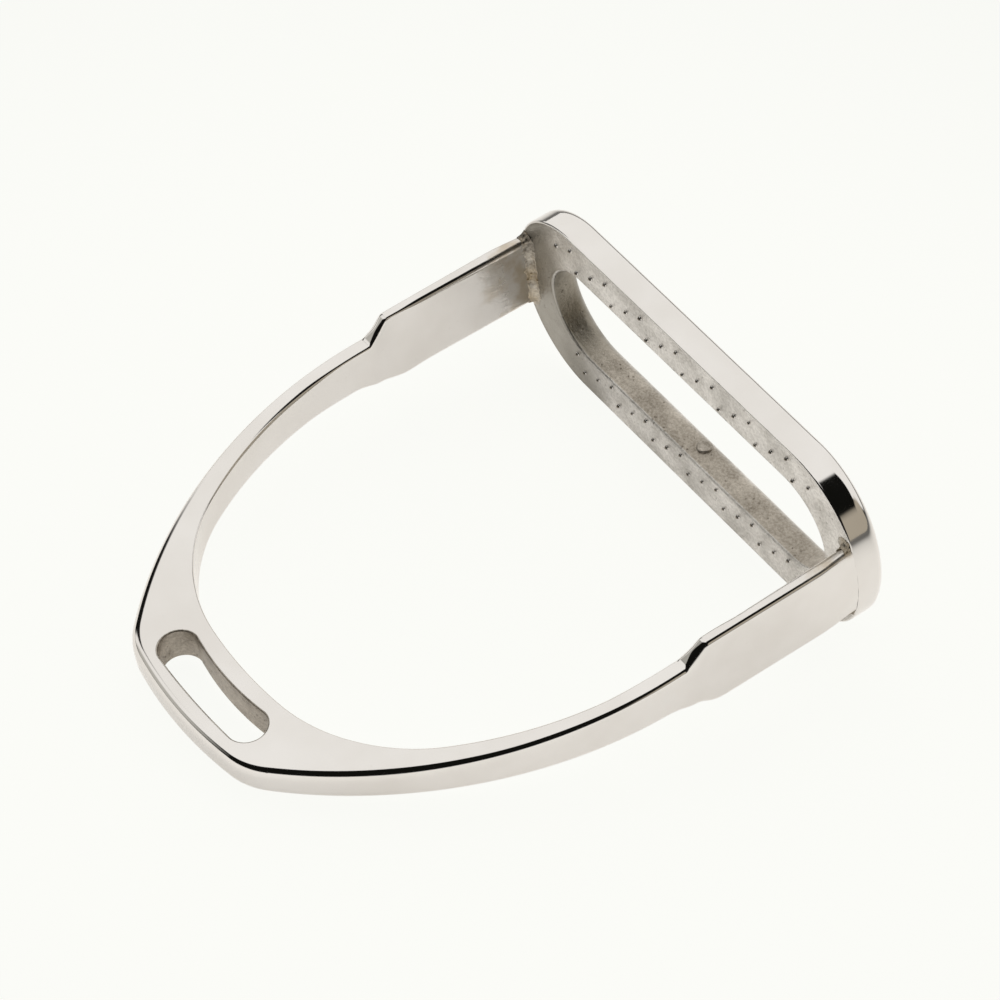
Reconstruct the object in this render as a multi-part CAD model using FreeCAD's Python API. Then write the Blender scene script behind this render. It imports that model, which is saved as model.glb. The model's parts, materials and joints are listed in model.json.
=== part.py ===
import FreeCAD, Part
import math
import os

os.makedirs("parts", exist_ok=True)
Vec = FreeCAD.Vector

# A stirrup iron in cast stainless steel: a bow and a tread, welded together.
# It is drawn standing on its tread, with X along the tread, Y from front to back,
# and Z up to the eye. At the end it is laid down on its back. Sizes are in mm.

# Tread
TREAD_LENGTH = 134.0
TREAD_DEPTH = 52.3
TREAD_SHIFT = 0.35           # the tread is welded on a little towards the back
TREAD_FACE_Z = 7.4
TREAD_FOOT_Z = -0.9
END_CORNER_RADIUS = 22.5
END_NOSE_RADIUS = 34.0
FOOT_ROUND = 3.2            # round of both edges under the tread's limbs
FACE_ROUND = 0.5            # round of the edge of the tread's face
SLOT_LENGTH = 107.6
SLOT_WIDTH = 28.0
SLOT_CHAMFER = 0.6
GATE_PAD_RADIUS = 1.9       # round stub left in the slot's back wall by the casting gate
GATE_PAD_PROUD = 0.5
GATE_PAD_Z = 2.4

# Arms
ARM_OUTER = 66.2            # outer face of arms and bow, measured from the middle
ARM_INNER_FOOT = 62.4
ARM_INNER_TOP = 63.2
ARM_DEPTH = 21.7

# Shoulders, where the deep arm steps down to the shallower bow
RAMP_FOOT_Z = 49.6
RAMP_TOP_Z = 53.8
RAMP_ROUND = 0.8
SHOULDER_DEPTH = 12.2
BACK_STEP_FOOT_Z = 45.0
BACK_STEP_TOP_Z = 61.0

# Bow
BOW_INNER = 61.9
SPRING_Z = 58.0             # the arches start here
OUTER_TOP_Z = 150.6
INNER_TOP_Z = 131.9
OUTER_SIDE_RADIUS = 117.0
OUTER_CORNER_RADIUS = 18.0
OUTER_CROWN_RADIUS = 111.0
INNER_SIDE_RADIUS = 99.0
INNER_CORNER_RADIUS = 45.0
INNER_CROWN_RADIUS = 118.0
EYE_DEPTH = 8.7             # front to back at the eye
OUTER_ROUND = 1.9
INNER_ROUND = 0.9

# Leather slot in the eye
LEATHER_SLOT_LENGTH = 38.6
LEATHER_SLOT_Z = 140.3
LEATHER_SLOT_END_RADIUS = 4.9
LEATHER_SLOT_TOP_RISE = 0.5     # rise of the upper edge in the middle
LEATHER_SLOT_BOTTOM_RISE = 1.3  # rise of the lower edge in the middle
LEATHER_SLOT_ROUND = 0.5

# Welds round the arms' feet
WELD_LEG = 1.9
WELD_CAP = 0.25

# Grip points cast on the tread's face, in slanted rows of three
GRIP_RADIUS = 0.5
GRIP_HEIGHT = 0.6
GRIP_TIP_SHARE = 0.45
GRIP_PITCH = 14.2           # from one row to the next
GRIP_ROWS = 7
FRONT_GRIP = Vec(41.7, -15.9, 0)    # innermost point of the front limb's first full row
FRONT_GRIP_STEP = Vec(-6.2, -3.05, 0)
BACK_GRIP = Vec(-39.3, 16.4, 0)     # innermost point of the back limb's first full row
BACK_GRIP_STEP = Vec(5.9, 2.4, 0)
GRIPS_IN_ROW = 3
GRIP_MARGIN = 2.6           # no point stands closer than this to the tread's edge
GRIP_REACH = 50.5           # nor further along from the middle, where the arms stand
BEND_PULL = 0.42            # how far a bend's handles reach, as a share of its length
OVERLAP = 1.0               # cutting solids run past the faces that they cut by this
TINY = 0.02                 # lengths under this count as none


def prism(outline, low, high):
    """Solid of a closed wire in the XZ plane, from y = low to y = high."""
    face = Part.Face(outline)
    face.translate(Vec(0, low, 0))
    return face.extrude(Vec(0, high - low, 0))


def archPoints(halfWidth, sideRadius, topZ, crownRadius, cornerRadius):
    """Centres and joints of the tangent arcs that make one half of an arch."""
    side = Vec(halfWidth - sideRadius, 0, SPRING_Z)
    crown = Vec(0, 0, topZ - crownRadius)
    sideReach = sideRadius - cornerRadius
    crownReach = crownRadius - cornerRadius
    apart = crown.sub(side)
    gap = apart.Length
    along = (sideReach ** 2 - crownReach ** 2 + gap ** 2) / (2 * gap)
    off = math.sqrt(sideReach ** 2 - along ** 2)
    unit = Vec(apart).normalize()
    left = Vec(-unit.z, 0, unit.x)
    corner = side.add(unit.multiply(along)).add(left.multiply(off))
    low = corner.add(Vec(corner.sub(side)).normalize().multiply(cornerRadius))
    high = corner.add(Vec(corner.sub(crown)).normalize().multiply(cornerRadius))
    toMiddle = Vec(low.sub(corner).add(high.sub(corner))).normalize().multiply(cornerRadius)
    sideAngle = math.atan2(low.z - side.z, low.x - side.x) / 2
    sideMiddle = side.add(Vec(math.cos(sideAngle), 0, math.sin(sideAngle)).multiply(sideRadius))
    return sideMiddle, low, corner.add(toMiddle), high


def mirrored(point):
    return Vec(-point.x, point.y, point.z)


def mirrorFront(point):
    return Vec(point.x, -point.y, point.z)


def archEdges(halfWidth, sideRadius, topZ, crownRadius, cornerRadius):
    """Arcs from the right spring over the top to the left spring."""
    sideMiddle, low, cornerMiddle, high = archPoints(
        halfWidth, sideRadius, topZ, crownRadius, cornerRadius)
    spring = Vec(halfWidth, 0, SPRING_Z)
    right = [(spring, sideMiddle, low), (low, cornerMiddle, high)]
    arcs = right + [(high, Vec(0, 0, topZ), mirrored(high))]
    arcs += [tuple(mirrored(p) for p in reversed(arc)) for arc in reversed(right)]
    return [Part.Arc(*arc).toShape() for arc in arcs]


def line(start, end):
    return Part.LineSegment(start, end).toShape()


def bezier(poles):
    curve = Part.BezierCurve()
    curve.setPoles(poles)
    return curve.toShape()


def outerEdges():
    """Outer outline of bow and arms seen from the front."""
    arch = archEdges(ARM_OUTER, OUTER_SIDE_RADIUS, OUTER_TOP_Z,
                     OUTER_CROWN_RADIUS, OUTER_CORNER_RADIUS)
    foot = Vec(ARM_OUTER, 0, TREAD_FACE_Z)
    spring = Vec(ARM_OUTER, 0, SPRING_Z)
    return arch + [line(foot, spring), line(mirrored(foot), mirrored(spring))]


def bowFrontView():
    """Outline of bow and arms seen from the front."""
    inner = archEdges(BOW_INNER, INNER_SIDE_RADIUS, INNER_TOP_Z,
                      INNER_CROWN_RADIUS, INNER_CORNER_RADIUS)
    lean = (ARM_INNER_TOP - ARM_INNER_FOOT) / (RAMP_FOOT_Z - TREAD_FACE_Z)
    pull = (RAMP_TOP_Z - RAMP_FOOT_Z) * BEND_PULL
    armTop = Vec(ARM_INNER_TOP, 0, RAMP_FOOT_Z)
    bowFoot = Vec(BOW_INNER, 0, RAMP_TOP_Z)
    bend = [armTop, armTop.add(Vec(lean * pull, 0, pull)), bowFoot.sub(Vec(0, 0, pull)), bowFoot]
    foot = Vec(ARM_INNER_FOOT, 0, TREAD_FACE_Z)
    outerFoot = Vec(ARM_OUTER, 0, TREAD_FACE_Z)
    runs = [(Vec(BOW_INNER, 0, SPRING_Z), bowFoot), (armTop, foot), (foot, outerFoot)]
    sides = [line(a, b) for a, b in runs] + [bezier(bend)]
    sides += [line(mirrored(a), mirrored(b)) for a, b in runs]
    sides += [bezier([mirrored(p) for p in bend])]
    return Part.Wire(Part.__sortEdges__(outerEdges() + inner + sides))


def bowHalfDepth(z):
    """Half of the bow's depth at a height, from the shoulder up to the eye."""
    share = (z - RAMP_TOP_Z) / (OUTER_TOP_Z - RAMP_TOP_Z)
    return (SHOULDER_DEPTH + (EYE_DEPTH - SHOULDER_DEPTH) * share) / 2


def roundCorner(before, corner, after, radius):
    """Start, middle and end of the arc that rounds a corner."""
    toBefore = Vec(before.sub(corner)).normalize()
    toAfter = Vec(after.sub(corner)).normalize()
    half = toBefore.getAngle(toAfter) / 2
    reach = radius / math.tan(half)
    bisector = Vec(toBefore.add(toAfter)).normalize()
    nearest = bisector.multiply(radius / math.sin(half) - radius)
    start = corner.add(toBefore.multiply(reach))
    return start, corner.add(nearest), corner.add(toAfter.multiply(reach))


def bowSideView():
    """Outline of bow and arms seen from the side, in the YZ plane."""
    arm = ARM_DEPTH / 2
    above = OUTER_TOP_Z + OVERLAP
    below = TREAD_FACE_Z - OVERLAP
    pull = (BACK_STEP_TOP_Z - BACK_STEP_FOOT_Z) * BEND_PULL
    backFoot = Vec(0, arm, BACK_STEP_FOOT_Z)
    backTop = Vec(0, bowHalfDepth(BACK_STEP_TOP_Z), BACK_STEP_TOP_Z)
    nearTop = Vec(0, bowHalfDepth(BACK_STEP_TOP_Z - pull), BACK_STEP_TOP_Z - pull)
    backStep = bezier([backFoot, backFoot.add(Vec(0, 0, pull)), nearTop, backTop])
    topBack = Vec(0, bowHalfDepth(above), above)
    topFront = mirrorFront(topBack)
    rampTop = Vec(0, -SHOULDER_DEPTH / 2, RAMP_TOP_Z)
    rampFoot = Vec(0, -arm, RAMP_FOOT_Z)
    frontFoot = Vec(0, -arm, below)
    inside = roundCorner(topFront, rampTop, rampFoot, RAMP_ROUND)
    outside = roundCorner(rampTop, rampFoot, frontFoot, RAMP_ROUND)
    edges = [line(backTop, topBack), line(topBack, topFront), line(topFront, inside[0]),
             Part.Arc(*inside).toShape(), line(inside[2], outside[0]),
             Part.Arc(*outside).toShape(), line(outside[2], frontFoot),
             line(frontFoot, Vec(0, arm, below)), line(Vec(0, arm, below), backFoot), backStep]
    return Part.Wire(edges)


def leatherSlot():
    """The slot in the eye: round ends, and both long edges rise in the middle."""
    radius = LEATHER_SLOT_END_RADIUS
    endX = LEATHER_SLOT_LENGTH / 2 - radius
    low = LEATHER_SLOT_Z - radius
    high = LEATHER_SLOT_Z + radius
    tip = Vec(endX + radius, 0, LEATHER_SLOT_Z)
    arcs = [(Vec(endX, 0, low), tip, Vec(endX, 0, high)),
            (Vec(endX, 0, high), Vec(0, 0, high + LEATHER_SLOT_TOP_RISE), Vec(-endX, 0, high)),
            (Vec(-endX, 0, high), mirrored(tip), Vec(-endX, 0, low)),
            (Vec(-endX, 0, low), Vec(0, 0, low + LEATHER_SLOT_BOTTOM_RISE), Vec(endX, 0, low))]
    outline = Part.Wire([Part.Arc(*arc).toShape() for arc in arcs])
    return prism(outline, -ARM_DEPTH, ARM_DEPTH)


def middleOf(edge):
    return edge.valueAt((edge.FirstParameter + edge.LastParameter) / 2)


def nearFace(edge):
    """True for an edge at the front or the back of the bow, not half way through it."""
    return abs(middleOf(edge).y) > EYE_DEPTH / 3


def isLong(edge):
    """True for an edge that runs along the bow or an arm, at its front or its back."""
    ends = [v.Point for v in edge.Vertexes]
    if len(ends) < 2 or ends[0].y * ends[1].y < 0:
        return False
    if middleOf(edge).z < TREAD_FACE_Z + OVERLAP or not nearFace(edge):
        return False
    level = abs(ends[0].z - ends[1].z) < TINY and abs(ends[0].y - ends[1].y) < TINY
    return not (level and abs(middleOf(edge).x) > LEATHER_SLOT_LENGTH)


def distanceInFront(edge, outline):
    """How far the middle of an edge is from an outline, seen from the front."""
    middle = middleOf(edge)
    return Part.Vertex(Vec(middle.x, 0, middle.z)).distToShape(outline)[0]


def makeBow():
    body = prism(bowFrontView(), -ARM_DEPTH, ARM_DEPTH)
    side = Part.Face(bowSideView())
    side.translate(Vec(-TREAD_LENGTH, 0, 0))
    body = body.common(side.extrude(Vec(2 * TREAD_LENGTH, 0, 0))).Solids[0]
    outline = Part.Compound(outerEdges())
    outer = [e for e in body.Edges if isLong(e) and distanceInFront(e, outline) < TINY]
    body = body.makeFillet(OUTER_ROUND, outer)
    inner = [e for e in body.Edges if isLong(e) and distanceInFront(e, outline) > OUTER_ROUND + TINY]
    body = body.makeFillet(INNER_ROUND, inner)
    slot = leatherSlot()
    body = body.cut(slot).Solids[0]
    rims = [e for e in body.Edges if distanceInFront(e, slot) < TINY and nearFace(e)]
    return body.makeFillet(LEATHER_SLOT_ROUND, rims)


def ovalWire(halfLength, halfWidth, cornerRadius, noseRadius, z):
    """Level oblong outline: straight sides, and ends of two corner arcs and a nose arc."""
    noseX = halfLength - noseRadius
    cornerY = halfWidth - cornerRadius
    cornerX = noseX + math.sqrt((noseRadius - cornerRadius) ** 2 - cornerY ** 2)
    turn = math.atan2(cornerY, cornerX - noseX)
    middle = (turn + math.pi / 2) / 2
    start = Vec(noseX + noseRadius * math.cos(turn), noseRadius * math.sin(turn), z)
    way = Vec(cornerX + cornerRadius * math.cos(middle), cornerY + cornerRadius * math.sin(middle), z)
    end = Vec(cornerX, halfWidth, z)
    arcs = [(mirrorFront(end), mirrorFront(way), mirrorFront(start)),
            (mirrorFront(start), Vec(halfLength, 0, z), start), (start, way, end)]
    arcs += [tuple(mirrored(p) for p in reversed(arc)) for arc in reversed(arcs)]
    edges = [Part.Arc(*arc).toShape() for arc in arcs]
    edges += [line(end, mirrored(end)), line(mirrorFront(mirrored(end)), mirrorFront(end))]
    return Part.Wire(Part.__sortEdges__(edges))


def stadiumWire(halfLength, halfWidth, z):
    """Level oblong outline with half-round ends."""
    corner = Vec(halfLength - halfWidth, halfWidth, z)
    tip = Vec(halfLength, 0, z)
    arcs = [(mirrorFront(corner), tip, corner),
            (mirrored(corner), mirrored(tip), mirrorFront(mirrored(corner)))]
    edges = [Part.Arc(*arc).toShape() for arc in arcs]
    edges += [line(corner, mirrored(corner)), line(mirrorFront(mirrored(corner)), mirrorFront(corner))]
    return Part.Wire(Part.__sortEdges__(edges))


def treadOutline(z):
    outline = ovalWire(TREAD_LENGTH / 2, TREAD_DEPTH / 2, END_CORNER_RADIUS, END_NOSE_RADIUS, z)
    outline.translate(Vec(0, TREAD_SHIFT, 0))
    return outline


def makeTread():
    height = TREAD_FACE_Z - TREAD_FOOT_Z
    body = Part.Face(treadOutline(TREAD_FOOT_Z)).extrude(Vec(0, 0, height))
    face = [e for e in body.Edges if abs(middleOf(e).z - TREAD_FACE_Z) < TINY]
    body = body.makeFillet(FACE_ROUND, face)
    rim = stadiumWire(SLOT_LENGTH / 2, SLOT_WIDTH / 2, TREAD_FOOT_Z - OVERLAP)
    slot = Part.Face(rim).extrude(Vec(0, 0, height + 2 * OVERLAP))
    slot.translate(Vec(0, TREAD_SHIFT, 0))
    body = body.cut(slot).Solids[0]
    under = [e for e in body.Edges if abs(middleOf(e).z - TREAD_FOOT_Z) < TINY]
    body = body.makeFillet(FOOT_ROUND, under)
    rim = [e for e in body.Edges if abs(middleOf(e).z - TREAD_FACE_Z) < TINY
           and e.distToShape(slot)[0] < TINY]
    body = body.makeChamfer(SLOT_CHAMFER, rim)
    wallY = SLOT_WIDTH / 2 + TREAD_SHIFT
    pad = Part.makeCylinder(GATE_PAD_RADIUS, GATE_PAD_RADIUS + GATE_PAD_PROUD,
                            Vec(0, wallY - GATE_PAD_PROUD, GATE_PAD_Z), Vec(0, 1, 0))
    return body.fuse(pad).removeSplitter()


def makeWeld(side, bow):
    """Bead round an arm's foot. It is ground flush with the arm's outer face."""
    rings = []
    for leg, z in ((WELD_LEG, TREAD_FACE_Z), (WELD_CAP, TREAD_FACE_Z + WELD_LEG)):
        inner = ARM_INNER_FOOT - leg
        half = ARM_DEPTH / 2 + leg
        corners = [Vec(inner, -half, z), Vec(ARM_OUTER, -half, z),
                   Vec(ARM_OUTER, half, z), Vec(inner, half, z)]
        rings.append(Part.makePolygon(corners + corners[:1]))
    bead = Part.makeLoft(rings, True, True)
    footprint = ovalWire(TREAD_LENGTH / 2 - FACE_ROUND, TREAD_DEPTH / 2 - FACE_ROUND,
                         END_CORNER_RADIUS - FACE_ROUND, END_NOSE_RADIUS - FACE_ROUND, TREAD_FACE_Z)
    footprint.translate(Vec(0, TREAD_SHIFT, 0))
    footprint = Part.Face(footprint).extrude(Vec(0, 0, WELD_LEG))
    bead = bead.common(footprint)
    if side < 0:
        bead = bead.mirror(Vec(0, 0, 0), Vec(1, 0, 0))
    return bead.cut(bow)


def gripPlaces():
    """Centres of the grip points: slanted rows of three along each limb, as far as the face goes."""
    outline = treadOutline(0)
    places = []
    for first, step, toNext in ((FRONT_GRIP, FRONT_GRIP_STEP, -GRIP_PITCH),
                                (BACK_GRIP, BACK_GRIP_STEP, GRIP_PITCH)):
        for row in range(-1, GRIP_ROWS):
            for number in range(GRIPS_IN_ROW):
                place = first.add(Vec(row * toNext, 0, 0)).add(step * number)
                inEnd = Part.Vertex(place).distToShape(outline)[0] > GRIP_MARGIN
                if inEnd and abs(place.x) < GRIP_REACH:
                    places.append(place.add(Vec(0, 0, TREAD_FACE_Z)))
    return places


def makeGripPoints():
    cones = [Part.makeCone(GRIP_RADIUS, GRIP_RADIUS * GRIP_TIP_SHARE, GRIP_HEIGHT, place)
             for place in gripPlaces()]
    return Part.Compound(cones)


def restingTilt():
    """Angle between the bow and the ground when the iron lies on its back.

    It rests on the rounded edge of the tread's face and on the rounded edge of the eye.
    """
    drop = (TREAD_DEPTH / 2 + TREAD_SHIFT - FACE_ROUND) - (bowHalfDepth(OUTER_TOP_Z) - OUTER_ROUND)
    run = (OUTER_TOP_Z - OUTER_ROUND) - (TREAD_FACE_Z - FACE_ROUND)
    return math.atan2(drop, run) - math.asin((OUTER_ROUND - FACE_ROUND) / math.hypot(drop, run))


def lieDown(shape):
    """Turn the standing iron onto its back, with the eye towards -Y."""
    shape = shape.copy()
    shape.rotate(Vec(0, 0, 0), Vec(0, 0, 1), 180)
    shape.rotate(Vec(0, 0, 0), Vec(1, 0, 0), 90 + math.degrees(restingTilt()))
    return shape


bow = makeBow()
standing = {"bow": bow,
            "tread": makeTread(),
            "left_weld": makeWeld(1, bow),
            "right_weld": makeWeld(-1, bow),
            "grip_points": makeGripPoints()}
lying = {node: lieDown(shape) for node, shape in standing.items()}

# The origin is the middle of the footprint, on the ground.
box = Part.Compound(list(lying.values())).optimalBoundingBox(False, False)
toOrigin = Vec(-(box.XMin + box.XMax) / 2, -(box.YMin + box.YMax) / 2, -box.ZMin)
for node, shape in lying.items():
    shape.translate(toOrigin)
    shape.exportStep("parts/" + node + ".step")
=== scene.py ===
import bpy
import bmesh
import json
import math
from mathutils import Matrix, Vector, geometry, noise


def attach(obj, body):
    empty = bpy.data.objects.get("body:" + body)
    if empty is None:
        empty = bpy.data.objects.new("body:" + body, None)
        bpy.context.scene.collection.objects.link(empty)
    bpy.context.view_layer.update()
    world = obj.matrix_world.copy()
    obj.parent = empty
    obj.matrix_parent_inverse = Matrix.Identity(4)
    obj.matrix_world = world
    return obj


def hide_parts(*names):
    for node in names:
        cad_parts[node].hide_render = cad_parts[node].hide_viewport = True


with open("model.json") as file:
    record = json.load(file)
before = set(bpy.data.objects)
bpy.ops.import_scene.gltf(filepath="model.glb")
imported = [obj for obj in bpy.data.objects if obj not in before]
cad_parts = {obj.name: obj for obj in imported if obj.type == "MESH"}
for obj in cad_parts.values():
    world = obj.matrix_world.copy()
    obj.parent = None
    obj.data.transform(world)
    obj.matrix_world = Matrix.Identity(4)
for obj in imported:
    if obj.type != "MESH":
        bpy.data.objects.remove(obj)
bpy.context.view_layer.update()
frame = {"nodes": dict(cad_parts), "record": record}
mm = 0.001
mounts = {mount["name"]: mount for mount in frame["record"]["mounts"]}
print("frame loaded:", len(frame["nodes"]), "nodes")

# Everything is drawn with the iron standing on its tread, in millimetres:
# x along the tread, y from front to back, z up to the eye. toRow lays it on its back.
eyeSlotZ = 140.3
upAxis = -Vector(mounts["tread_underside"]["axis"]).normalized()
backAxis = -Vector(mounts["leather_slot"]["axis"]).normalized()
foot = Vector(mounts["leather_slot"]["pos_m"]) - upAxis * eyeSlotZ * mm
toRow = Matrix.Translation(foot) @ Matrix((Vector((-1, 0, 0)), backAxis, upAxis)).transposed().to_4x4()
toRow = toRow @ Matrix.Scale(mm, 4)

# camera: long lens from the front corner, a little tipped to one side
cameraSet = {"aim": (-9.64 * mm, 19.07 * mm, 15.45 * mm), "azimuth": 53.48, "elevation": 44.12,
             "roll": 2.46, "distance": 1133.46 * mm, "lens": 173.78}

# light tent: a bright dome that leans away from the lens, dark behind the lens, with a dark gap
lightSet = {"roof": (1.0, 0.985, 0.955), "strength": 1.0, "dark": (0.006, 0.006, 0.005),
            "lean": 45.0, "azimuth": 230.0, "reach": 73.0, "soft": 4.0,
            "gapAzimuth": -80.0, "gapWidth": 9.0, "gapTop": 46.0, "backdrop": (0.965, 0.972, 0.935)}
# round boards hung in the tent
boardSet = ({"azimuth": 126.0, "elevation": 6.0, "reach": 27.0, "soft": 5.0,
             "colour": (0.47, 0.42, 0.34)},
            {"azimuth": 103.0, "elevation": 53.0, "reach": 23.0, "soft": 2.0,
             "colour": lightSet["dark"]},
            {"azimuth": -43.0, "elevation": 12.0, "reach": 13.0, "soft": 8.0,
             "colour": (0.55, 0.54, 0.50)})
# to the lens the floor is an even pale sheet; to all other rays it glows, brightest near the iron and
# fading far off: a painted pool of light
floorSet = {"size": 6.0, "colour": (0.88, 0.865, 0.835), "glow": 0.52,
            "near": 0.11, "far": 0.5, "farShare": 0.16, "seen": (0.965, 0.972, 0.935), "shadeShare": 0.08}


def smooth(low, high, value):
    share = min(1.0, max(0.0, (value - low) / (high - low)))
    return share * share * (3 - 2 * share)


def blend(first, second, share):
    return first + (second - first) * share


def putInScene(name, data):
    thing = bpy.data.objects.new(name, data)
    bpy.context.scene.collection.objects.link(thing)
    return thing


def setInput(node, name, value):
    node.inputs[name].default_value = value


# links an output to a socket, or sets a plain value on it
def feed(tree, socket, value):
    if isinstance(value, bpy.types.NodeSocket):
        tree.links.new(value, socket)
    else:
        socket.default_value = value


def newMaterial(name):
    material = bpy.data.materials.new(name)
    material.use_nodes = True
    nodes = material.node_tree.nodes
    nodes.clear()
    out = nodes.new("ShaderNodeOutputMaterial")
    shader = nodes.new("ShaderNodeBsdfPrincipled")
    material.node_tree.links.new(shader.outputs[0], out.inputs[0])
    return material, shader


# the mark tells a material which finish a point has
def smoothAndMark(mesh, markName, values):
    mesh.polygons.foreach_set("use_smooth", [True] * len(mesh.polygons))
    mark = mesh.attributes.new(markName, "FLOAT", "POINT")
    mark.data.foreach_set("value", values)


# points are given in the standing frame; the mesh is laid down straight away
def newPiece(name, points, faces, cast, normals=None):
    mesh = bpy.data.meshes.new(name)
    mesh.from_pydata([toRow @ Vector(point) for point in points], [], faces)
    smoothAndMark(mesh, "cast", cast)
    piece = putInScene(name, mesh)
    if normals is not None:
        turn = toRow.to_3x3()
        mesh.normals_split_custom_set_from_vertices([(turn @ Vector(n)).normalized() for n in normals])
    return piece


def makeCamera():
    azimuth = math.radians(cameraSet["azimuth"])
    elevation = math.radians(cameraSet["elevation"])
    aim = Vector(cameraSet["aim"])
    away = Vector((math.sin(azimuth) * math.cos(elevation),
                   -math.cos(azimuth) * math.cos(elevation), math.sin(elevation)))
    data = bpy.data.cameras.new("camera")
    data.lens = cameraSet["lens"]
    data.sensor_width = 36
    data.clip_start = 0.05
    camera = putInScene("camera", data)
    turn = away.to_track_quat("Z", "Y").to_matrix().to_4x4()
    roll = Matrix.Rotation(math.radians(cameraSet["roll"]), 4, "Z")
    camera.matrix_world = Matrix.Translation(aim + away * cameraSet["distance"]) @ turn @ roll
    bpy.context.scene.camera = camera


def wayAt(turn):
    return Vector((math.cos(turn), math.sin(turn)))


def arcPoints(centre, radius, start, end, count):
    ways = [wayAt(blend(start, end, step / count)) for step in range(count)]
    return [(centre + way * radius, way) for way in ways]


# the rounded edge between two faces: tight by the face, easier towards the wall
def edgeProfile(steps, softness):
    places = [(0.0, 0.0, 0.0)]
    along = 0.0
    across = 0.0
    fine = 40
    for step in range(steps):
        for part in range(fine):
            share = (step + (part + 0.5) / fine) / steps
            turn = share * math.pi / 2
            radius = 1 + softness * share ** 4
            along += radius * math.cos(turn) * math.pi / 2 / steps / fine
            across += radius * math.sin(turn) * math.pi / 2 / steps / fine
        places.append((along, across, (step + 1) / steps * math.pi / 2))
    return places


# the bow is drawn as two lines, outer and inner, with an edge ring swept along each
bowSet = {"springZ": 58.0, "armOuter": 66.2, "armInnerFoot": 62.4, "armInnerTop": 63.2, "bowInner": 61.9,
          "outerTop": 150.6, "outerRadii": (117.0, 18.0, 111.0),
          "innerTop": 131.9, "innerRadii": (99.0, 45.0, 118.0), "archSteps": (46, 30, 22),
          "armDepth": 21.7, "shoulderDepth": 12.2, "eyeDepth": 8.7,
          "rampFoot": 48.9, "rampTop": 54.7, "rampRound": 0.5, "backFoot": 45.0, "backTop": 61.0,
          "armEdge": 1.1, "eyeEdge": 2.1, "rampEdge": 0.9, "innerEdge": 0.75, "armInnerEdge": 0.65,
          "archInnerEdge": 0.7, "rampInnerEdge": 0.5,
          "outerSoft": 1.6, "innerSoft": 0.6, "edgeSteps": 10, "wallSteps": 4, "flare": 12.0,
          "eyeSoftens": (64.0, 130.0), "armSoft": (38.0, 46.0), "archSoftens": (62.0, 76.0),
          "archHardens": (108.0, 126.0)}
# slot for the leather, its long edges a little arched
eyeSlotSet = {"halfLength": 19.3, "endRadius": 4.9, "topRise": 0.5, "bottomRise": 1.3,
              "edge": 0.42, "edgeSteps": 5, "wallSteps": 12, "steps": 26}


# from the spring to the crown: points (x, z) and unit normals
def archLine(half, radii, top):
    sideR, cornerR, crownR = radii
    steps = bowSet["archSteps"]
    side = Vector((half - sideR, bowSet["springZ"]))
    crown = Vector((0, top - crownR))
    apart = crown - side
    gap = apart.length
    sideReach = sideR - cornerR
    crownReach = crownR - cornerR
    along = (sideReach ** 2 - crownReach ** 2 + gap ** 2) / (2 * gap)
    off = math.sqrt(sideReach ** 2 - along ** 2)
    unit = apart / gap
    corner = side + unit * along + Vector((-unit.y, unit.x)) * off
    lowTurn = math.atan2((corner - side).y, (corner - side).x)
    highTurn = math.atan2((corner - crown).y, (corner - crown).x)
    line = arcPoints(side, sideR, 0, lowTurn, steps[0])
    line += arcPoints(corner, cornerR, lowTurn, highTurn, steps[1])
    line += arcPoints(crown, crownR, highTurn, math.pi / 2, steps[2])
    return line + [(Vector((0, top)), Vector((0, 1)))]


def halfDepth(z):
    share = (z - bowSet["rampTop"]) / (bowSet["outerTop"] - bowSet["rampTop"])
    return blend(bowSet["shoulderDepth"], bowSet["eyeDepth"], share) / 2


def frontDepthSharp(z):
    arm = bowSet["armDepth"] / 2
    if z <= bowSet["rampFoot"]:
        return arm
    if z >= bowSet["rampTop"]:
        return halfDepth(z)
    share = (z - bowSet["rampFoot"]) / (bowSet["rampTop"] - bowSet["rampFoot"])
    return blend(arm, halfDepth(bowSet["rampTop"]), share)


def frontDepth(z):
    offsets = [(k / 4) * bowSet["rampRound"] for k in range(-4, 5)]
    return sum(frontDepthSharp(z + offset) for offset in offsets) / len(offsets)


def backDepth(z):
    share = smooth(bowSet["backFoot"], bowSet["backTop"], z)
    return blend(bowSet["armDepth"] / 2, halfDepth(max(z, bowSet["rampTop"])), share)


def nearRamp(z):
    middle = (bowSet["rampFoot"] + bowSet["rampTop"]) / 2
    return math.exp(-((z - middle) / 2.2) ** 2)


def outerEdgeSize(z):
    size = blend(bowSet["armEdge"], bowSet["eyeEdge"], smooth(*bowSet["eyeSoftens"], z))
    return size + bowSet["rampEdge"] * nearRamp(z)


def innerEdgeSize(z):
    onArm = 1 - smooth(*bowSet["armSoft"], z)
    onArch = smooth(*bowSet["archSoftens"], z) * (1 - smooth(*bowSet["archHardens"], z))
    return (bowSet["innerEdge"] + bowSet["rampInnerEdge"] * nearRamp(z)
            + bowSet["armInnerEdge"] * onArm + bowSet["archInnerEdge"] * onArch)


def armHeights():
    low = treadSet["height"]
    coarse = [low + k * 0.75 for k in range(51)]
    fine = [low + 51 * 0.75 + k * 0.25 for k in range(50)]
    return [z for z in coarse + fine if z < bowSet["springZ"] - 0.1]


def innerArmX(z):
    lean = (bowSet["armInnerTop"] - bowSet["armInnerFoot"]) / (bowSet["rampFoot"] - treadSet["height"])
    arm = bowSet["armInnerFoot"] + lean * (z - treadSet["height"])
    return blend(arm, bowSet["bowInner"], smooth(bowSet["rampFoot"] - 1.5, bowSet["rampTop"] + 1.0, z))


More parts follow.
